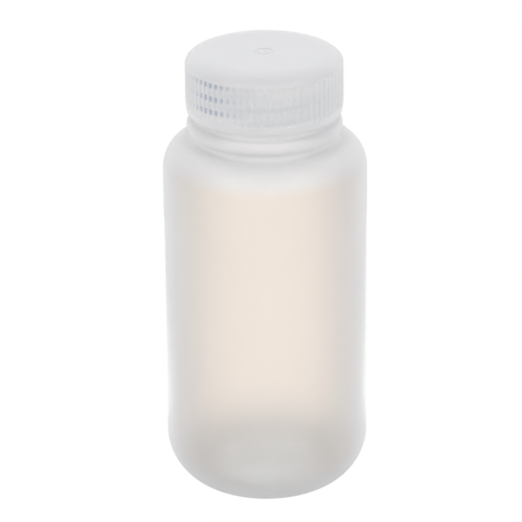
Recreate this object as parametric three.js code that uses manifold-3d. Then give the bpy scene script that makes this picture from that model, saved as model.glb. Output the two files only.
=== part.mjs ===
// Wide-mouth laboratory reagent bottle with a ribbed screw cap and a sealing liner.
// Millimetres, +Z up. The origin is the centre of the ring that the bottle stands on.
import * as THREE from 'three';
import { mergeVertices } from 'three/addons/utils/BufferGeometryUtils.js';
import Module from 'manifold-3d';

const wasm = await Module();
wasm.setup();

// Overall size
const BODY_DIAMETER = 73.5;
const OVERALL_HEIGHT = 167;
const WALL = 1.4;

// Base and heel
const PUSH_UP = 3;
const PUSH_UP_CURVE_RADIUS = 8;
const BASE_THICKNESS = 1.8;
const RING_INNER_RADIUS = 13.4;
const HEEL_WIDTH = 20;
const HEEL_HEIGHT = 20.2;

// Label panel, set back a little from the body
const PANEL_BOTTOM = 28;
const PANEL_TOP = 103;
const PANEL_DEPTH = 0.15;
const PANEL_RAMP = 0.8;

// Shoulder and neck
const SHOULDER_START = 123.1;
const SHOULDER_HEIGHT = 11.1;
const NECK_RADIUS = 25.9;
const NECK_ROOT_FILLET = 1.8;
const BEAD_RADIUS = 28;
const BEAD_HEIGHT = 139.9;
const BEAD_HALF_HEIGHT = 2.8;

// Neck finish: the threaded land above the bead
const LAND_RADIUS = 24.8;
const BORE_RADIUS = 22.9;
const LIP_CHAMFER = 0.6;

// Thread, right-handed, one start
const PITCH = 5;
const THREAD_HEIGHT = 1.4;
const THREAD_BASE = 2.3;
const THREAD_CREST = 1;
const THREAD_ROOT_DEPTH = 0.5;
const THREAD_STEPS_PER_TURN = 40;
const THREAD_FADE_TURNS = 0.12;
const NECK_THREAD_TURNS = 2.4;
const CAP_THREAD_TURNS = 2.1;
const NECK_THREAD_DROP = 1.9;
const CAP_THREAD_DROP = 1.7;
const THREAD_START = THREE.MathUtils.degToRad(-85);

// Cap
const CAP_RADIUS = 28.3;
const CAP_HEIGHT = 21.6;
const CAP_MOUTH_RADIUS = 27.95;
const CAP_TAPER = 2.8;
const CAP_EDGE_WIDTH = 8.6;
const CAP_EDGE_HEIGHT = 4.15;
const CAP_TOP_THICKNESS = 2.2;
const CAP_BORE_RADIUS = 26.6;
const RIB_COUNT = 72;
const RIB_DEPTH = 0.45;
const RIB_SAMPLES = 4;
const RIB_CREST_CLEARANCE = 0.03;
const RIB_CUTTER_MARGIN = 2;

// Liner: a loose disc under the cap's top
const LINER_RADIUS = 25.2;
const LINER_THICKNESS = 1.2;
const GAP = 0.3;

// Facets around the axis
const BOTTLE_SEGMENTS = 48;
const CAP_SEGMENTS = 72;
const ARC_STEPS = 3;
const WELD_DISTANCE = 1e-4;

// Heights that follow from the driving dimensions
const BODY_RADIUS = BODY_DIAMETER / 2;
const CAP_BOTTOM = OVERALL_HEIGHT - CAP_HEIGHT;
const CAP_CEILING = OVERALL_HEIGHT - CAP_TOP_THICKNESS;
const LINER_TOP = CAP_CEILING - GAP;
const LINER_BOTTOM = LINER_TOP - LINER_THICKNESS;
const LIP_HEIGHT = LINER_BOTTOM - GAP;
const NECK_THREAD_TOP = LIP_HEIGHT - NECK_THREAD_DROP;
const CAP_THREAD_TOP = NECK_THREAD_TOP - CAP_THREAD_DROP;

const MATERIALS = {
  bottle: { color: 0xe9e6e1, roughness: 0.42, metalness: 0, opacity: 0.75, transparent: true },
  cap: { color: 0xdfe1e3, roughness: 0.38, metalness: 0, opacity: 0.85, transparent: true },
  liner: { color: 0xf2f2ef, roughness: 0.7, metalness: 0 },
};

// The position-only geometry with its shared vertices merged and its zero-area triangles dropped.
function welded(geometry) {
  const bare = geometry.clone();
  bare.deleteAttribute('normal');
  bare.deleteAttribute('uv');
  const merged = mergeVertices(bare, WELD_DISTANCE);
  const kept = [];
  const index = merged.getIndex().array;
  for (let i = 0; i < index.length; i += 3) {
    const [a, b, c] = [index[i], index[i + 1], index[i + 2]];
    if (a !== b && b !== c && c !== a) kept.push(a, b, c);
  }
  merged.setIndex(kept);
  return merged;
}

function toSolid(geometry) {
  const mesh = welded(geometry);
  return new wasm.Manifold(new wasm.Mesh({
    numProp: 3,
    vertProperties: new Float32Array(mesh.getAttribute('position').array),
    triVerts: new Uint32Array(mesh.getIndex().array),
  }));
}

function fromSolid(solid) {
  const mesh = solid.getMesh();
  const geometry = new THREE.BufferGeometry();
  geometry.setAttribute('position', new THREE.BufferAttribute(mesh.vertProperties, 3));
  geometry.setIndex(new THREE.BufferAttribute(mesh.triVerts, 1));
  geometry.computeVertexNormals();
  return geometry;
}

// A body of revolution about +Z from an outline of (radius, height) points.
function turned(outline, segments) {
  return new THREE.LatheGeometry(outline.getPoints(ARC_STEPS), segments).rotateX(Math.PI / 2);
}

// The outside of the bottle, from the middle of the base up to the lip.
function bottleOutside(outline) {
  const heelCentre = BODY_RADIUS - HEEL_WIDTH;
  const panelRadius = BODY_RADIUS - PANEL_DEPTH;
  const shoulderInner = NECK_RADIUS + NECK_ROOT_FILLET;
  const shoulderTop = SHOULDER_START + SHOULDER_HEIGHT;
  outline.moveTo(0, PUSH_UP);
  outline.quadraticCurveTo(PUSH_UP_CURVE_RADIUS, PUSH_UP, RING_INNER_RADIUS, 0);
  outline.lineTo(heelCentre, 0);
  outline.absellipse(heelCentre, HEEL_HEIGHT, HEEL_WIDTH, HEEL_HEIGHT, -Math.PI / 2, 0, false);
  outline.lineTo(BODY_RADIUS, PANEL_BOTTOM);
  outline.lineTo(panelRadius, PANEL_BOTTOM + PANEL_RAMP);
  outline.lineTo(panelRadius, PANEL_TOP - PANEL_RAMP);
  outline.lineTo(BODY_RADIUS, PANEL_TOP);
  outline.lineTo(BODY_RADIUS, SHOULDER_START);
  outline.absellipse(shoulderInner, SHOULDER_START, BODY_RADIUS - shoulderInner,
    SHOULDER_HEIGHT, 0, Math.PI / 2, false);
  outline.absarc(shoulderInner, shoulderTop + NECK_ROOT_FILLET, NECK_ROOT_FILLET,
    -Math.PI / 2, -Math.PI, true);
  outline.lineTo(NECK_RADIUS, BEAD_HEIGHT - BEAD_HALF_HEIGHT);
  outline.absellipse(NECK_RADIUS, BEAD_HEIGHT, BEAD_RADIUS - NECK_RADIUS, BEAD_HALF_HEIGHT,
    -Math.PI / 2, Math.PI / 2, false);
  outline.lineTo(LAND_RADIUS, BEAD_HEIGHT + BEAD_HALF_HEIGHT + NECK_RADIUS - LAND_RADIUS);
  outline.lineTo(LAND_RADIUS, LIP_HEIGHT - LIP_CHAMFER);
  outline.lineTo(LAND_RADIUS - LIP_CHAMFER, LIP_HEIGHT);
}

// The inside of the bottle, from the lip down to the middle of the floor.
function bottleInside(outline) {
  const innerRadius = BODY_RADIUS - WALL;
  const heelWidth = HEEL_WIDTH - WALL;
  const heelHeight = HEEL_HEIGHT - BASE_THICKNESS;
  const shoulderHeight = SHOULDER_HEIGHT - WALL;
  outline.lineTo(BORE_RADIUS + LIP_CHAMFER, LIP_HEIGHT);
  outline.lineTo(BORE_RADIUS, LIP_HEIGHT - LIP_CHAMFER);
  outline.lineTo(BORE_RADIUS, SHOULDER_START + SHOULDER_HEIGHT);
  outline.lineTo(BORE_RADIUS + WALL, SHOULDER_START + shoulderHeight);
  outline.absellipse(BORE_RADIUS + WALL, SHOULDER_START, innerRadius - BORE_RADIUS - WALL,
    shoulderHeight, Math.PI / 2, 0, true);
  outline.lineTo(innerRadius, HEEL_HEIGHT);
  outline.absellipse(innerRadius - heelWidth, HEEL_HEIGHT, heelWidth, heelHeight,
    0, -Math.PI / 2, true);
  outline.lineTo(RING_INNER_RADIUS, BASE_THICKNESS);
  outline.quadraticCurveTo(PUSH_UP_CURVE_RADIUS, PUSH_UP + BASE_THICKNESS,
    0, PUSH_UP + BASE_THICKNESS);
}

// A helical ridge that runs down from topHeight. Its root is buried in the wall behind it, and its
// crest sinks into that wall at both ends. The wall is at wallRadius; outward is +1 for a neck.
function threadRidge(wallRadius, outward, topHeight, turns) {
  const section = new THREE.Shape();
  const root = -THREAD_ROOT_DEPTH * outward;
  const crest = THREAD_HEIGHT * outward;
  section.moveTo(root, -THREAD_BASE / 2);
  section.lineTo(crest, -THREAD_CREST / 2);
  section.lineTo(crest, THREAD_CREST / 2);
  section.lineTo(root, THREAD_BASE / 2);
  const steps = Math.round(turns * THREAD_STEPS_PER_TURN);
  const geometry = new THREE.ExtrudeGeometry(section, { depth: turns, steps, bevelEnabled: false });
  const position = geometry.getAttribute('position');
  const sunk = THREAD_HEIGHT + THREAD_ROOT_DEPTH / 2;
  for (let i = 0; i < position.count; i += 1) {
    const turn = position.getZ(i);
    const fromEnd = Math.min(turn, turns - turn);
    const full = THREE.MathUtils.smoothstep(fromEnd, 0, THREAD_FADE_TURNS);
    const standOff = Math.max(position.getX(i) * outward - (1 - full) * sunk, -THREAD_ROOT_DEPTH);
    const radius = wallRadius + standOff * outward;
    const angle = THREAD_START - turn * 2 * Math.PI;
    const height = topHeight + position.getY(i) - turn * PITCH;
    position.setXYZ(i, radius * Math.cos(angle), radius * Math.sin(angle), height);
  }
  return geometry;
}

function bottle() {
  const outline = new THREE.Path();
  bottleOutside(outline);
  bottleInside(outline);
  const shell = toSolid(turned(outline, BOTTLE_SEGMENTS));
  const ridge = threadRidge(LAND_RADIUS, 1, NECK_THREAD_TOP, NECK_THREAD_TURNS);
  return fromSolid(shell.add(toSolid(ridge)));
}

// The cap before its ribs and thread: rounded top edge, straight side, tapered foot.
function capShell() {
  const taperTop = CAP_BOTTOM + CAP_TAPER;
  const edgeCentre = CAP_RADIUS - CAP_EDGE_WIDTH;
  const edgeStart = OVERALL_HEIGHT - CAP_EDGE_HEIGHT;
  const outline = new THREE.Path();
  outline.moveTo(0, CAP_CEILING);
  outline.lineTo(CAP_BORE_RADIUS, CAP_CEILING);
  outline.lineTo(CAP_BORE_RADIUS, CAP_BOTTOM);
  outline.lineTo(CAP_MOUTH_RADIUS, CAP_BOTTOM);
  outline.lineTo(CAP_RADIUS, taperTop);
  outline.lineTo(CAP_RADIUS, edgeStart);
  outline.absellipse(edgeCentre, edgeStart, CAP_EDGE_WIDTH, CAP_EDGE_HEIGHT, 0, Math.PI / 2, false);
  outline.lineTo(0, OVERALL_HEIGHT);
  return turned(outline, CAP_SEGMENTS);
}

// Everything outside the ribs' scalloped outline, over the ribs' height.
function ribCutter() {
  const bottom = CAP_BOTTOM + CAP_TAPER;
  const height = CAP_HEIGHT - CAP_TAPER - CAP_EDGE_HEIGHT;
  const scallops = new THREE.Path();
  const mean = CAP_RADIUS - RIB_DEPTH / 2 + RIB_CREST_CLEARANCE;
  for (let i = 0; i < RIB_COUNT * RIB_SAMPLES; i += 1) {
    const angle = (i * 2 * Math.PI) / (RIB_COUNT * RIB_SAMPLES);
    const radius = mean + (RIB_DEPTH / 2) * Math.cos(angle * RIB_COUNT);
    const [x, y] = [radius * Math.cos(angle), radius * Math.sin(angle)];
    if (i === 0) scallops.moveTo(x, y);
    else scallops.lineTo(x, y);
  }
  scallops.closePath();
  const ring = new THREE.Shape();
  ring.absarc(0, 0, CAP_RADIUS + RIB_CUTTER_MARGIN, 0, 2 * Math.PI, false);
  ring.holes.push(scallops);
  return new THREE.ExtrudeGeometry(ring, { depth: height, steps: 1, bevelEnabled: false })
    .translate(0, 0, bottom);
}

function cap() {
  const ridge = threadRidge(CAP_BORE_RADIUS, -1, CAP_THREAD_TOP, CAP_THREAD_TURNS);
  return fromSolid(toSolid(capShell()).subtract(toSolid(ribCutter())).add(toSolid(ridge)));
}

function liner() {
  const outline = new THREE.Path();
  outline.moveTo(0, LINER_BOTTOM);
  outline.lineTo(LINER_RADIUS, LINER_BOTTOM);
  outline.lineTo(LINER_RADIUS, LINER_TOP);
  outline.lineTo(0, LINER_TOP);
  return welded(turned(outline, BOTTLE_SEGMENTS));
}

function piece(name, geometry, finish) {
  const mesh = new THREE.Mesh(geometry, new THREE.MeshStandardMaterial(finish));
  mesh.name = name;
  return mesh;
}

const reagentBottle = new THREE.Group();
reagentBottle.add(
  piece('bottle', bottle(), MATERIALS.bottle),
  piece('cap', cap(), MATERIALS.cap),
  piece('cap_liner', liner(), MATERIALS.liner),
);

export default reagentBottle;
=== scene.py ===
"""A wide-mouth reagent bottle of translucent plastic, with a ribbed screw cap and a sealing disc."""

import math

import bpy
from mathutils import Matrix, Vector


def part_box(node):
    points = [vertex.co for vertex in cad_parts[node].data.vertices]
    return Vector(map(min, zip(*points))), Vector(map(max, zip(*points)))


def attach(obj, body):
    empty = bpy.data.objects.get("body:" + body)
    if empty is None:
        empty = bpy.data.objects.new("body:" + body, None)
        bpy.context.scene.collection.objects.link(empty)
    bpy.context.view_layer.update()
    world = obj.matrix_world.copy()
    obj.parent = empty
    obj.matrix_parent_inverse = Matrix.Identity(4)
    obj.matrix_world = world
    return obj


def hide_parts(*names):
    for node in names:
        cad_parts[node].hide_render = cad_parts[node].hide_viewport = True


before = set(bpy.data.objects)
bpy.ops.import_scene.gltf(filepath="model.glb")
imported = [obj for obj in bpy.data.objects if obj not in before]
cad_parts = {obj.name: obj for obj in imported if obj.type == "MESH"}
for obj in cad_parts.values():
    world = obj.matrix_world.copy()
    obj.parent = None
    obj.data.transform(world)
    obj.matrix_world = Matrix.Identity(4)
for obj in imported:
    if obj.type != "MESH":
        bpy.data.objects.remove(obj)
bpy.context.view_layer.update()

MM = 0.001

# Sizes that the frame holds
BOTTLE_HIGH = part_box("bottle")[1]
CAP_LOW, CAP_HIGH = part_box("cap")
LINER_LOW, LINER_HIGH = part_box("cap_liner")
BODY_RADIUS = BOTTLE_HIGH.x
LIP_HEIGHT = BOTTLE_HIGH.z
CAP_RADIUS = CAP_HIGH.x
CAP_FOOT = CAP_LOW.z
CAP_TOP = CAP_HIGH.z
LINER_RADIUS = LINER_HIGH.x
GAP = LINER_LOW.z - LIP_HEIGHT
CEILING = LINER_HIGH.z + GAP

# Bottle
WALL = 1.4 * MM
BASE_THICKNESS = 1.8 * MM
PUSH_UP = 3 * MM
PUSH_UP_CURVE_RADIUS = 8 * MM
PUSH_UP_STEPS = 24
RING_INNER_RADIUS = 13.4 * MM
HEEL_WIDTH = 20 * MM
HEEL_HEIGHT = 20.2 * MM
PANEL_BOTTOM = 28 * MM
PANEL_TOP = 103 * MM
PANEL_DEPTH = 0.15 * MM
PANEL_RAMP = 1.6 * MM
SHOULDER_START = 123.1 * MM
SHOULDER_HEIGHT = 11.1 * MM
NECK_RADIUS = 25.9 * MM
NECK_FILLET = 1.8 * MM
BEAD_RADIUS = 28 * MM
BEAD_HEIGHT = 139.9 * MM
BEAD_HALF_HEIGHT = 2.8 * MM
LAND_RADIUS = 24.8 * MM
BORE_RADIUS = 22.9 * MM
LIP_ROUNDING = 0.6 * MM

# Collar on the neck from the bead up to just inside the cap's foot, which closes the gap there
COLLAR_RADIUS = 26.2 * MM
COLLAR_TOP = CAP_FOOT + 1.0 * MM
COLLAR_SLOPE = 0.6 * MM
LAND_START = COLLAR_TOP + COLLAR_SLOPE

# The blown wall thins out from THICK_BOTTOM up to THIN_BOTTOM and thickens again from THIN_TOP up
# to THICK_TOP. Thick plastic is cloudier.
THICK_BOTTOM = 2 * MM
THIN_BOTTOM = 18 * MM
THIN_TOP = 124 * MM
THICK_TOP = 131 * MM

# Thread, right-handed, running down clockwise from a start near the front
PITCH = 5 * MM
THREAD_HEIGHT = 1.4 * MM
THREAD_BASE = 2.4 * MM
THREAD_CREST = 0.8 * MM
THREAD_START = math.radians(-85)
THREAD_FADE_TURNS = 0.08
NECK_THREAD_TOP = LIP_HEIGHT - 1.9 * MM
NECK_THREAD_TURNS = 2.4
CAP_THREAD_TOP = NECK_THREAD_TOP - 1.7 * MM
CAP_THREAD_TURNS = 2.1

# Parting line of the two halves of the bottle's mould, at +X and -X, and its pinch-off under the base
SEAM_HEIGHT = 0.05 * MM
SEAM_WIDTH = 0.16 * MM
SEAM_STEP = math.radians(0.14)
SEAM_STEPS = 6
PINCH_HEIGHT = 0.35 * MM
PINCH_WIDTH = 0.4 * MM
PINCH_REACH = 12 * MM
PINCH_FADE_START = 7.2 * MM

# Cap
CAP_MOUTH_RADIUS = 27.95 * MM
CAP_TAPER = 2.8 * MM
CAP_EDGE_WIDTH = 8.6 * MM
CAP_EDGE_HEIGHT = 4.15 * MM
CAP_BORE_RADIUS = 26.6 * MM
CAP_FOOT_ROUNDING = 0.35 * MM
CEILING_FILLET_WIDTH = 1.2 * MM
CEILING_FILLET_HEIGHT = 0.9 * MM
RETAINER_DEPTH = 1.5 * MM
RETAINER_HALF_HEIGHT = 0.7 * MM
RIB_COUNT = 72
RIB_DEPTH = 0.36 * MM
RIB_END = 0.3 * MM

# Dark bluish dots of painted shade on the cap, in the valleys of the ribs where the neck's thread
# stands behind the wall. They are clearest to the left of the front, and a little higher on the cap
# than the thread stands. The wall is seen from above, which explains about two thirds of that rise.
# The rest, and where the dots are clearest, are given.
DOTS_ANGLE = math.radians(-133)
DOTS_SPREAD = math.radians(17)
DOTS_LEAST = 0.1
DOTS_SHARE = 0.75
DOTS_WIDENING = 2.0
DOTS_RISE = 1.4 * MM

# Gate mark: a shallow ring with a small pit inside it, in the middle of the cap's top
GATE_RADIUS = 3.6 * MM
GATE_MESH_RADIUS = 3.96 * MM
GATE_RING_RADIUS = 2.7 * MM
GATE_RING_WIDTH = 0.45 * MM
GATE_PIT_WIDTH = 0.8 * MM
GATE_DEPTH = 0.35 * MM

# Sealing disc
LINER_ROUNDING = 0.3 * MM
LIP_PRINT_RADIUS = (LAND_RADIUS + BORE_RADIUS) / 2
LIP_PRINT_DEPTH = 0.12 * MM
LIP_PRINT_WIDTH = 0.8 * MM

# Mesh fineness
BOTTLE_SEGMENTS = 192
CAP_SEGMENTS = 8 * RIB_COUNT
THREAD_ROW = 0.27 * MM
RIB_ROW = 0.5 * MM
SAME_POINT = 1e-7

# Camera
CAMERA_ELEVATION = math.radians(23.02)
CAMERA_DISTANCE = 1.4704
CAMERA_ASIDE = -0.00173
CAMERA_AIM_HEIGHT = 0.08583
CAMERA_ROLL = math.radians(-0.5)
CAMERA_LENS = 278.7
CAMERA_SENSOR = 36

WHITE = (1, 1, 1, 1)

# Light of the surround, as colour times brightness, and the parts of the way to -Y, to +Y and up
# over which it turns from one to the next
FRONT_LIGHT = (1.02, 1.02, 1.05, 1)
SIDE_LIGHT = (0.50, 0.50, 0.52, 1)
BACK_LIGHT = (0.95, 0.95, 0.96, 1)
TOP_LIGHT = (0.60, 0.605, 0.61, 1)
FRONT_TO_SIDE = (-0.9, -0.3)
SIDE_TO_BACK = (0.0, 0.7)
AROUND_TO_TOP = (0.5, 1.0)

# Light of the floor. It is dim close to the bottle, more so in front of it than behind.
FLOOR_HALF_SIZE = 4.0
FLOOR_LIGHT = 0.78
DIM_LIGHT = 0.55
DIM_BACK_LIGHT = 0.88
DIM_TURN = 0.02
DIM_RADIUS = 0.045
LIT_RADIUS = 0.15

# A bluish patch of light under the base, a little behind its middle
UNDER_LIGHT = 2.85
UNDER_TINT = (0.68, 0.86, 1.00, 1)
UNDER_RADIUS = 0.014
UNDER_EDGE = 0.026
UNDER_BACK = 0.006

# A bright sheet on the floor behind the bottle
SHEET_LIGHT = 1.52
SHEET_HALF_WIDTH = 0.08
SHEET_START = 0.032
SHEET_SOFT = 0.03

# Two soft boxes in front of the bottle, to the left and right and above
SOFTBOX_SIZE = 0.5
SOFTBOX_POWER = 1.5
SOFTBOX_DISTANCE = 1.2
SOFTBOX_TURN = math.radians(48)
SOFTBOX_HEIGHT = math.radians(43)

# Translucency: seen at a slant, light goes a longer way through the wall and less of it passes
CLEAR_FACING = 0.1
CLOUDY_FACING = 0.9
CLOUDY_SHARE = 0.1
BOTTLE_SHARE = 0.8
CAP_SHARE = 0.35
THICK_SHARE = 0.5
BOTTLE_THROUGH = (1.0, 0.93, 0.86, 1)
CAP_THROUGH = (1.0, 1.0, 1.0, 1)
THICK_THROUGH = (0.98, 0.99, 1.0, 1)
# Dark bluish painted shade, laid on the cap's thread and on the dots in front of it
PAINTED_SHADE_TINT = (0.31, 0.42, 0.58, 1)
SCATTER = (0.99, 0.99, 0.99, 1)
DARK_SCATTER = (0.975, 0.975, 0.975, 1)

# Moulded surface: cloudy streaks and waves run up and down the wall, with a fine grain over them
PLASTIC_IOR = 1.49
PLASTIC_ROUGHNESS = 0.32
ROUGHNESS_SPREAD = 0.08
BOTTLE_RELIEF = 0.25
CAP_RELIEF = 0.2
RELIEF_DISTANCE = 0.04 * MM
STREAK_STRETCH = (1.0, 1.0, 0.12)
CLOUD_SCALE = 55.0
CLOUD_DETAIL = 3.0
WAVE_SCALE = 260.0
WAVE_SHARE = 3.0
GRAIN_SCALE = 1400.0
NOISE_LOW = 0.3
NOISE_HIGH = 0.7

# Foam of the sealing disc: fine closed cells
FOAM_IOR = 1.45
FOAM_CELL_SCALE = 2200.0
FOAM_PATCH_SCALE = 400.0
FOAM_RELIEF = 0.3
FOAM_RELIEF_DISTANCE = 0.05 * MM
FOAM_DARK = (0.80, 0.80, 0.78, 1)
FOAM_PALE = (0.88, 0.88, 0.87, 1)
FOAM_ROUGHNESS = (0.55, 0.8)
FOAM_CELL_HEIGHT = 0.6

# How many walls light may pass, and how many other surfaces it may leave
GLASS_BOUNCES = 40
OTHER_BOUNCES = 16


def smoothstep(low, high, value):
    t = min(max((value - low) / (high - low), 0.0), 1.0)
    return t * t * (3 - 2 * t)


class Outline:
    """A run of (radius, height) points in metres, made of lines and elliptical arcs."""

    def __init__(self, radius, height):
        self.points = [(radius, height)]

    def add(self, radius, height):
        last = self.points[-1]
        if math.hypot(radius - last[0], height - last[1]) > SAME_POINT:
            self.points.append((radius, height))

    def line(self, radius, height, steps=1):
        first = self.points[-1]
        for i in range(1, steps + 1):
            t = i / steps
            self.add(first[0] + (radius - first[0]) * t, first[1] + (height - first[1]) * t)

    def arc(self, centre, radii, start, end, steps):
        """An arc about centre from start to end degrees, where 0 is outwards and 90 is up."""
        for i in range(steps + 1):
            angle = math.radians(start + (end - start) * i / steps)
            self.add(centre[0] + radii[0] * math.cos(angle), centre[1] + radii[1] * math.sin(angle))

    def bend(self, control, end, steps):
        """A curve to end that leaves and arrives along the lines through control."""
        first = self.points[-1]
        for i in range(1, steps + 1):
            t = i / steps
            a, b, c = (1 - t) ** 2, 2 * t * (1 - t), t * t
            self.add(a * first[0] + b * control[0] + c * end[0],
                     a * first[1] + b * control[1] + c * end[1])


def even_angles(count):
    return [2 * math.pi * i / count for i in range(count)]


def seam_angles(count):
    """Even angles, with close ones on both sides of the mould's parting line."""
    angles = set(even_angles(count))
    for side in (0, math.pi):
        for i in range(-SEAM_STEPS, SEAM_STEPS + 1):
            angles.add((side + SEAM_STEP * i) % (2 * math.pi))
    return sorted(angles)


def turned(name, points, angles, shift):
    """A closed surface turned about +Z from points that start and end on the axis.

    shift(radius, height, angle, row) gives how far a point moves outwards and up, how thick the
    wall is there and how much dark painted shade the point takes, on the cap's thread and dots.
    The material reads the last two as attributes, from 0 to 1.
    """
    vertices, thickness, painted_shade, faces = [], [], [], []
    last = len(points) - 1
    for row, (radius, height) in enumerate(points):
        on_axis = row in (0, last)
        for angle in angles[:1] if on_axis else angles:
            out, up, thick, raised = shift(radius, height, angle, row)
            distance = 0 if on_axis else radius + out
            vertices.append((distance * math.cos(angle), distance * math.sin(angle), height + up))
            thickness.append(thick)
            painted_shade.append(raised)
    count = len(angles)
    for k in range(count):
        after = (k + 1) % count
        faces.append((0, 1 + after, 1 + k))
        for row in range(last - 2):
            a = 1 + row * count
            faces.append((a + k, a + after, a + count + after, a + count + k))
        a = 1 + (last - 2) * count
        faces.append((a + k, a + after, len(vertices) - 1))
    mesh = bpy.data.meshes.new(name)
    mesh.from_pydata(vertices, [], faces)
    mesh.attributes.new("thickness", "FLOAT", "POINT").data.foreach_set("value", thickness)
    mesh.attributes.new("painted_shade", "FLOAT", "POINT").data.foreach_set("value", painted_shade)
    mesh.shade_smooth()
    piece = bpy.data.objects.new(name, mesh)
    bpy.context.collection.objects.link(piece)
    return piece


def thread(angle, height, top, turns):
    """How much of the thread's height stands at an angle and a height, from 0 to 1."""
    share = ((THREAD_START - angle) / (2 * math.pi)) % 1
    turn = share + round((top - height) / PITCH - share)
    if not 0 <= turn <= turns:
        return 0.0
    away = abs(height - (top - turn * PITCH))
    section = 1 - smoothstep(THREAD_CREST / 2, THREAD_BASE / 2, away)
    return section * smoothstep(0, THREAD_FADE_TURNS, min(turn, turns - turn))


def bottle_points():
    """The bottle's section, from the middle of its underside to the lip and back down inside, and
    the count of the points outside."""
    heel = BODY_RADIUS - HEEL_WIDTH
    panel = BODY_RADIUS - PANEL_DEPTH
    shoulder = NECK_RADIUS + NECK_FILLET
    shoulder_top = SHOULDER_START + SHOULDER_HEIGHT
    bead_width = BEAD_RADIUS - NECK_RADIUS
    bead_end = math.degrees(math.acos((COLLAR_RADIUS - NECK_RADIUS) / bead_width))
    inner = BODY_RADIUS - WALL
    outline = Outline(0, PUSH_UP)
    outline.bend((PUSH_UP_CURVE_RADIUS, PUSH_UP), (RING_INNER_RADIUS, 0), PUSH_UP_STEPS)
    outline.line(heel, 0, 3)
    outline.arc((heel, HEEL_HEIGHT), (HEEL_WIDTH, HEEL_HEIGHT), -90, 0, 28)
    outline.line(BODY_RADIUS, PANEL_BOTTOM - PANEL_RAMP, 3)
    outline.bend((BODY_RADIUS, PANEL_BOTTOM - PANEL_RAMP / 2),
                 ((BODY_RADIUS + panel) / 2, PANEL_BOTTOM), 3)
    outline.bend((panel, PANEL_BOTTOM + PANEL_RAMP / 2), (panel, PANEL_BOTTOM + PANEL_RAMP), 3)
    outline.line(panel, PANEL_TOP - PANEL_RAMP, 12)
    outline.bend((panel, PANEL_TOP - PANEL_RAMP / 2), ((BODY_RADIUS + panel) / 2, PANEL_TOP), 3)
    outline.bend((BODY_RADIUS, PANEL_TOP + PANEL_RAMP / 2), (BODY_RADIUS, PANEL_TOP + PANEL_RAMP), 3)
    outline.line(BODY_RADIUS, SHOULDER_START, 5)
    outline.arc((shoulder, SHOULDER_START), (BODY_RADIUS - shoulder, SHOULDER_HEIGHT), 0, 90, 24)
    outline.arc((shoulder, shoulder_top + NECK_FILLET), (NECK_FILLET, NECK_FILLET), -90, -180, 8)
    outline.line(NECK_RADIUS, BEAD_HEIGHT - BEAD_HALF_HEIGHT)
    outline.arc((NECK_RADIUS, BEAD_HEIGHT), (bead_width, BEAD_HALF_HEIGHT), -90, bead_end, 18)
    outline.line(COLLAR_RADIUS, COLLAR_TOP, 3)
    outline.bend((COLLAR_RADIUS, LAND_START), (LAND_RADIUS, LAND_START), 4)
    rows = round((LIP_HEIGHT - LIP_ROUNDING - LAND_START) / THREAD_ROW)
    outline.line(LAND_RADIUS, LIP_HEIGHT - LIP_ROUNDING, rows)
    rounding = (LIP_ROUNDING, LIP_ROUNDING)
    outline.arc((LAND_RADIUS - LIP_ROUNDING, LIP_HEIGHT - LIP_ROUNDING), rounding, 0, 90, 5)
    outside = len(outline.points)
    outline.arc((BORE_RADIUS + LIP_ROUNDING, LIP_HEIGHT - LIP_ROUNDING), rounding, 90, 180, 5)
    outline.line(BORE_RADIUS, shoulder_top + WALL, 8)
    outline.bend((BORE_RADIUS, shoulder_top - WALL), (shoulder, shoulder_top - WALL), 8)
    outline.arc((shoulder, SHOULDER_START), (inner - shoulder, SHOULDER_HEIGHT - WALL), 90, 0, 20)
    outline.line(inner, HEEL_HEIGHT, 12)
    outline.arc((heel, HEEL_HEIGHT), (inner - heel, HEEL_HEIGHT - BASE_THICKNESS), 0, -90, 22)
    outline.line(RING_INNER_RADIUS, BASE_THICKNESS, 2)
    outline.bend((PUSH_UP_CURVE_RADIUS, PUSH_UP + BASE_THICKNESS),
                 (0, PUSH_UP + BASE_THICKNESS), 12)
    return outline.points, outside


def make_bottle():
    points, outside = bottle_points()

    def shift(radius, height, angle, row):
        thick = max(smoothstep(THIN_TOP, THICK_TOP, height),
                    1 - smoothstep(THICK_BOTTOM, THIN_BOTTOM, height))
        if row >= outside:
            return 0, 0, thick, 0
        across = abs(radius * math.sin(angle))
        if row <= PUSH_UP_STEPS:
            pinch = PINCH_HEIGHT * math.exp(-((across / PINCH_WIDTH) ** 2))
            return 0, -pinch * (1 - smoothstep(PINCH_FADE_START, PINCH_REACH, radius)), thick, 0
        out = SEAM_HEIGHT * math.exp(-((across / SEAM_WIDTH) ** 2))
        if height < LAND_START:
            return out, 0, thick, 0
        raised = thread(angle, height, NECK_THREAD_TOP, NECK_THREAD_TURNS)
        return out + raised * THREAD_HEIGHT, 0, thick, 0

    return turned("bottle_shell", points, seam_angles(BOTTLE_SEGMENTS), shift)


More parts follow.
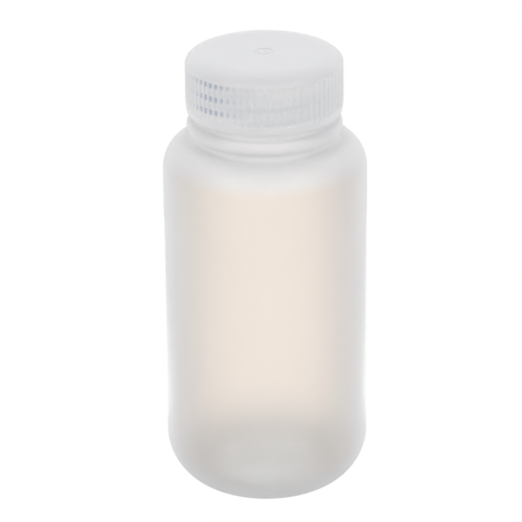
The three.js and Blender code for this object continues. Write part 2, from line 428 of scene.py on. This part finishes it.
def cap_points():
    """The cap's section, from the middle of its ceiling down inside to the foot and up outside, and
    the count of the points inside."""
    taper_top = CAP_FOOT + CAP_TAPER
    edge_start = CAP_TOP - CAP_EDGE_HEIGHT
    fillet_bottom = CEILING - CEILING_FILLET_HEIGHT
    retainer = fillet_bottom - RETAINER_HALF_HEIGHT
    outline = Outline(0, CEILING)
    outline.line(CAP_BORE_RADIUS - CEILING_FILLET_WIDTH, CEILING, 5)
    outline.arc((CAP_BORE_RADIUS - CEILING_FILLET_WIDTH, fillet_bottom),
                (CEILING_FILLET_WIDTH, CEILING_FILLET_HEIGHT), 90, 0, 6)
    outline.arc((CAP_BORE_RADIUS, retainer), (RETAINER_DEPTH, RETAINER_HALF_HEIGHT), 90, 270, 10)
    rows = round((retainer - RETAINER_HALF_HEIGHT - taper_top) / THREAD_ROW)
    outline.line(CAP_BORE_RADIUS, taper_top, rows)
    rounding = (CAP_FOOT_ROUNDING, CAP_FOOT_ROUNDING)
    outline.arc((CAP_BORE_RADIUS + CAP_FOOT_ROUNDING, CAP_FOOT + CAP_FOOT_ROUNDING),
                rounding, 180, 270, 4)
    outline.arc((CAP_MOUTH_RADIUS - CAP_FOOT_ROUNDING, CAP_FOOT + CAP_FOOT_ROUNDING),
                rounding, -90, 0, 4)
    inside = len(outline.points)
    outline.line(CAP_RADIUS, taper_top, 3)
    outline.line(CAP_RADIUS, taper_top + RIB_END, 4)
    rows = round((edge_start - taper_top - 2 * RIB_END) / RIB_ROW)
    outline.line(CAP_RADIUS, edge_start - RIB_END, rows)
    outline.line(CAP_RADIUS, edge_start, 4)
    outline.arc((CAP_RADIUS - CAP_EDGE_WIDTH, edge_start),
                (CAP_EDGE_WIDTH, CAP_EDGE_HEIGHT), 0, 90, 22)
    outline.line(GATE_MESH_RADIUS, CAP_TOP, 4)
    outline.line(0, CAP_TOP, 22)
    return outline.points, inside


def gate_mark(radius):
    """How deep the gate mark is at a place on the cap's top."""
    ring = math.exp(-(((radius - GATE_RING_RADIUS) / GATE_RING_WIDTH) ** 2))
    pit = math.exp(-((radius / GATE_PIT_WIDTH) ** 2))
    return GATE_DEPTH * max(ring, pit)


def make_cap():
    points, inside = cap_points()
    ribs_low = CAP_FOOT + CAP_TAPER
    ribs_high = CAP_TOP - CAP_EDGE_HEIGHT

    def shift(radius, height, angle, row):
        if row < inside:
            # The cap's thread stands in from the bore, and the same share paints it with dark bluish
            # painted shade
            raised = thread(angle, height, CAP_THREAD_TOP, CAP_THREAD_TURNS)
            on_wall = abs(radius - CAP_BORE_RADIUS) < SAME_POINT
            return (-raised * THREAD_HEIGHT, 0, 0, raised) if on_wall else (0, 0, 0, 0)
        if radius <= GATE_RADIUS:
            return 0, -gate_mark(radius), 0, 0
        valley = 0.5 - 0.5 * math.cos(RIB_COUNT * angle)
        ends = min(smoothstep(ribs_low, ribs_low + RIB_END, height),
                   1 - smoothstep(ribs_high - RIB_END, ribs_high, height))
        # Painted shade: dark bluish dots in the rib valleys in front of the neck's thread, clearest
        # about DOTS_ANGLE
        around = math.remainder(angle - DOTS_ANGLE, 2 * math.pi)
        clear = DOTS_LEAST + (1 - DOTS_LEAST) * math.exp(-((around / DOTS_SPREAD) ** 2))
        behind = thread(angle, height - DOTS_RISE, NECK_THREAD_TOP, NECK_THREAD_TURNS)
        painted_dot = DOTS_SHARE * clear * min(DOTS_WIDENING * behind, 1) * valley * ends
        return -RIB_DEPTH * valley * ends, 0, 0, painted_dot

    return turned("cap_shell", points, even_angles(CAP_SEGMENTS), shift)


def make_liner():
    rounding = (LINER_ROUNDING, LINER_ROUNDING)
    rim = LINER_RADIUS - LINER_ROUNDING
    outline = Outline(0, LINER_LOW.z)
    outline.line(LIP_PRINT_RADIUS - 2 * LIP_PRINT_WIDTH, LINER_LOW.z, 4)
    outline.line(rim, LINER_LOW.z, 16)
    outline.arc((rim, LINER_LOW.z + LINER_ROUNDING), rounding, -90, 0, 4)
    outline.arc((rim, LINER_HIGH.z - LINER_ROUNDING), rounding, 0, 90, 4)
    outline.line(0, LINER_HIGH.z, 5)

    def shift(radius, height, angle, row):
        if height > LINER_LOW.z + SAME_POINT:
            return 0, 0, 0, 0
        away = (radius - LIP_PRINT_RADIUS) / LIP_PRINT_WIDTH
        return 0, LIP_PRINT_DEPTH * math.exp(-away * away), 0, 0

    return turned("sealing_disc", outline.points, even_angles(BOTTLE_SEGMENTS), shift)


class Tree:
    """A short way to add nodes to a material or a world.

    A node's inputs are given by name, with _ for a space, or by place as i0, i1 and so on. An input
    is a value, or the output that it is linked to.
    """

    def __init__(self, holder):
        holder.use_nodes = True
        self.tree = holder.node_tree
        self.tree.nodes.clear()

    def node(self, kind, settings=None, **inputs):
        made = self.tree.nodes.new(kind)
        for key, value in (settings or {}).items():
            setattr(made, key, value)
        for key, value in inputs.items():
            self.put(made, key.replace("_", " "), value)
        return made

    def put(self, made, key, value):
        socket = made.inputs[int(key[1:])] if key[0] == "i" and key[1:].isdigit() else made.inputs[key]
        if isinstance(value, bpy.types.NodeSocket):
            self.tree.links.new(value, socket)
        else:
            socket.default_value = value

    def noise(self, place, scale, detail=2.0):
        made = self.node("ShaderNodeTexNoise", Vector=place, Scale=scale, Detail=detail)
        return made.outputs["Fac"]

    def spread(self, value, low, high, to_low, to_high, shape="LINEAR"):
        """The value's place from low to high, on the way from to_low to to_high."""
        made = self.node("ShaderNodeMapRange", {"interpolation_type": shape},
                         i0=value, i1=low, i2=high, i3=to_low, i4=to_high)
        return made.outputs["Result"]

    def blend(self, factor, first, second):
        """The first colour where factor is 0, and the second where it is 1."""
        made = self.node("ShaderNodeMix", {"data_type": "RGBA"}, i0=factor, i6=first, i7=second)
        return made.outputs[2]


def natural_plastic(name, through, share, relief):
    """Translucent moulded plastic: through is the tint of the light that passes the thin wall, and
    share how much passes."""
    material = bpy.data.materials.new(name)
    tree = Tree(material)
    place = tree.node("ShaderNodeTexCoord").outputs["Object"]
    streaks = tree.node("ShaderNodeMapping", i0=place, i3=STREAK_STRETCH).outputs[0]
    cloud = tree.noise(streaks, CLOUD_SCALE, CLOUD_DETAIL)
    waves = tree.noise(streaks, WAVE_SCALE)
    grain = tree.noise(place, GRAIN_SCALE)
    height = tree.node("ShaderNodeMath", {"operation": "MULTIPLY_ADD"},
                       i0=waves, i1=WAVE_SHARE, i2=grain).outputs[0]
    bump = tree.node("ShaderNodeBump", Strength=relief, Distance=RELIEF_DISTANCE,
                     Height=height).outputs[0]
    rough = tree.spread(grain, NOISE_LOW, NOISE_HIGH, PLASTIC_ROUGHNESS * (1 - ROUGHNESS_SPREAD),
                        PLASTIC_ROUGHNESS * (1 + ROUGHNESS_SPREAD))
    streak = tree.spread(cloud, NOISE_LOW, NOISE_HIGH, 0.0, 1.0)
    thick = tree.node("ShaderNodeAttribute", {"attribute_name": "thickness"}).outputs["Fac"]
    painted_shade = tree.node("ShaderNodeAttribute", {"attribute_name": "painted_shade"}).outputs["Fac"]
    # Where the attribute read here is up, both colours turn towards the dark bluish painted shade
    tint = tree.blend(painted_shade, tree.blend(streak, DARK_SCATTER, SCATTER), PAINTED_SHADE_TINT)
    passed = tree.blend(painted_shade, tree.blend(thick, through, THICK_THROUGH), PAINTED_SHADE_TINT)
    glassy = tree.node("ShaderNodeBsdfPrincipled", Base_Color=passed, Roughness=rough,
                       IOR=PLASTIC_IOR, Transmission_Weight=1.0, Normal=bump)
    milky = tree.node("ShaderNodeBsdfPrincipled", Base_Color=tint, Roughness=rough,
                      IOR=PLASTIC_IOR, Normal=bump)
    facing = tree.node("ShaderNodeLayerWeight").outputs["Facing"]
    passing = tree.spread(thick, 0.0, 1.0, share, THICK_SHARE)
    clear = tree.spread(facing, CLEAR_FACING, CLOUDY_FACING, passing, CLOUDY_SHARE, "SMOOTHSTEP")
    mixed = tree.node("ShaderNodeMixShader", i0=clear, i1=milky.outputs[0], i2=glassy.outputs[0])
    tree.node("ShaderNodeOutputMaterial", Surface=mixed.outputs[0])
    return material


def foam(name):
    """Matt white foam with fine cells."""
    material = bpy.data.materials.new(name)
    tree = Tree(material)
    place = tree.node("ShaderNodeTexCoord").outputs["Object"]
    cells = tree.node("ShaderNodeTexVoronoi", Vector=place, Scale=FOAM_CELL_SCALE).outputs["Distance"]
    bump = tree.node("ShaderNodeBump", Strength=FOAM_RELIEF, Distance=FOAM_RELIEF_DISTANCE,
                     Height=cells).outputs[0]
    tint = tree.blend(tree.noise(place, FOAM_PATCH_SCALE), FOAM_DARK, FOAM_PALE)
    rough = tree.spread(cells, 0.0, FOAM_CELL_HEIGHT, *FOAM_ROUGHNESS)
    surface = tree.node("ShaderNodeBsdfPrincipled", Base_Color=tint, IOR=FOAM_IOR, Roughness=rough,
                        Normal=bump)
    tree.node("ShaderNodeOutputMaterial", Surface=surface.outputs[0])
    return material


def pale_floor():
    """White to the camera. To everything else it glows: evenly far from the bottle, dimmer close to
    it, brightly under its base, and brightest of all on the sheet behind it, out to its far edge."""
    material = bpy.data.materials.new("pale_floor")
    tree = Tree(material)
    place = tree.node("ShaderNodeTexCoord").outputs["Object"]
    split = tree.node("ShaderNodeSeparateXYZ", i0=place)
    away = tree.node("ShaderNodeVectorMath", {"operation": "LENGTH"}, i0=place).outputs["Value"]
    dim = tree.spread(split.outputs["Y"], -DIM_TURN, DIM_TURN, DIM_LIGHT, DIM_BACK_LIGHT, "SMOOTHSTEP")
    around = tree.spread(away, DIM_RADIUS, LIT_RADIUS, dim, FLOOR_LIGHT, "SMOOTHSTEP")

    from_patch = tree.node("ShaderNodeVectorMath", {"operation": "SUBTRACT"},
                           i0=place, i1=(0, UNDER_BACK, 0)).outputs[0]
    off_patch = tree.node("ShaderNodeVectorMath", {"operation": "LENGTH"},
                          i0=from_patch).outputs["Value"]
    near = tree.spread(off_patch, UNDER_RADIUS, UNDER_EDGE, UNDER_LIGHT, around, "SMOOTHSTEP")
    untinted = tree.spread(off_patch, UNDER_RADIUS, UNDER_EDGE, 0.0, 1.0)
    tint = tree.blend(untinted, UNDER_TINT, WHITE)

    aside = tree.node("ShaderNodeMath", {"operation": "ABSOLUTE"}, i0=split.outputs["X"]).outputs[0]
    across = tree.spread(aside, SHEET_HALF_WIDTH, SHEET_HALF_WIDTH + SHEET_SOFT, 1.0, 0.0, "SMOOTHSTEP")
    behind = tree.spread(split.outputs["Y"], SHEET_START, SHEET_START + SHEET_SOFT, 0.0, 1.0,
                         "SMOOTHSTEP")
    on_sheet = tree.node("ShaderNodeMath", {"operation": "MULTIPLY"}, i0=across, i1=behind).outputs[0]
    light = tree.spread(on_sheet, 0.0, 1.0, near, SHEET_LIGHT)

    glow = tree.node("ShaderNodeEmission", Color=tint, Strength=light)
    white = tree.node("ShaderNodeEmission", Color=WHITE, Strength=1.0)
    seen = tree.node("ShaderNodeLightPath").outputs["Is Camera Ray"]
    mixed = tree.node("ShaderNodeMixShader", i0=seen, i1=glow.outputs[0], i2=white.outputs[0])
    tree.node("ShaderNodeOutputMaterial", Surface=mixed.outputs[0])
    return material


def soft_world():
    """A surround that is white to the camera. Its light is dimmest from the sides and above."""
    world = bpy.data.worlds.new("studio")
    bpy.context.scene.world = world
    tree = Tree(world)
    way = tree.node("ShaderNodeTexCoord").outputs["Generated"]
    split = tree.node("ShaderNodeSeparateXYZ", i0=way)
    front = tree.spread(split.outputs["Y"], *FRONT_TO_SIDE, 0.0, 1.0, "SMOOTHSTEP")
    back = tree.spread(split.outputs["Y"], *SIDE_TO_BACK, 0.0, 1.0, "SMOOTHSTEP")
    up = tree.spread(split.outputs["Z"], *AROUND_TO_TOP, 0.0, 1.0, "SMOOTHSTEP")
    around = tree.blend(back, tree.blend(front, FRONT_LIGHT, SIDE_LIGHT), BACK_LIGHT)
    light = tree.blend(up, around, TOP_LIGHT)
    seen = tree.node("ShaderNodeLightPath").outputs["Is Camera Ray"]
    surround = tree.node("ShaderNodeBackground", Color=tree.blend(seen, light, WHITE))
    tree.node("ShaderNodeOutputWorld", Surface=surround.outputs[0])


def make_floor():
    half = FLOOR_HALF_SIZE
    mesh = bpy.data.meshes.new("floor")
    corners = [(-half, -half, 0), (half, -half, 0), (half, half, 0), (-half, half, 0)]
    mesh.from_pydata(corners, [], [(0, 1, 2, 3)])
    floor = bpy.data.objects.new("floor", mesh)
    bpy.context.collection.objects.link(floor)
    mesh.materials.append(pale_floor())


def make_softboxes():
    for side in (-1, 1):
        light = bpy.data.lights.new("softbox", "AREA")
        light.energy = SOFTBOX_POWER
        light.size = SOFTBOX_SIZE
        box = bpy.data.objects.new("softbox", light)
        bpy.context.collection.objects.link(box)
        out = SOFTBOX_DISTANCE * math.cos(SOFTBOX_HEIGHT)
        place = Vector((side * out * math.sin(SOFTBOX_TURN), -out * math.cos(SOFTBOX_TURN),
                        SOFTBOX_DISTANCE * math.sin(SOFTBOX_HEIGHT)))
        box.location = place
        box.rotation_euler = place.to_track_quat("Z", "Y").to_euler()


def make_camera():
    camera = bpy.data.objects.new("camera", bpy.data.cameras.new("camera"))
    bpy.context.collection.objects.link(camera)
    camera.data.lens = CAMERA_LENS
    camera.data.sensor_width = CAMERA_SENSOR
    away = -CAMERA_DISTANCE * math.cos(CAMERA_ELEVATION)
    above = CAMERA_AIM_HEIGHT + CAMERA_DISTANCE * math.sin(CAMERA_ELEVATION)
    tilt = Matrix.Rotation(math.pi / 2 - CAMERA_ELEVATION, 4, "X")
    roll = Matrix.Rotation(CAMERA_ROLL, 4, "Z")
    camera.matrix_world = Matrix.Translation((CAMERA_ASIDE, away, above)) @ tilt @ roll
    bpy.context.scene.camera = camera


make_camera()
make_floor()
make_softboxes()
soft_world()
bpy.context.scene.view_settings.view_transform = "Standard"
paths = bpy.context.scene.cycles
paths.max_bounces = GLASS_BOUNCES
paths.transmission_bounces = GLASS_BOUNCES
paths.glossy_bounces = OTHER_BOUNCES
paths.diffuse_bounces = OTHER_BOUNCES

bottle = make_bottle()
bottle.data.materials.append(
    natural_plastic("bottle_plastic", BOTTLE_THROUGH, BOTTLE_SHARE, BOTTLE_RELIEF))
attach(bottle, "bottle")
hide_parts("bottle")

cap = make_cap()
cap.data.materials.append(natural_plastic("cap_plastic", CAP_THROUGH, CAP_SHARE, CAP_RELIEF))
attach(cap, "cap")
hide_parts("cap")

liner = make_liner()
liner.data.materials.append(foam("liner_foam"))
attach(liner, "liner")
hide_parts("cap_liner")
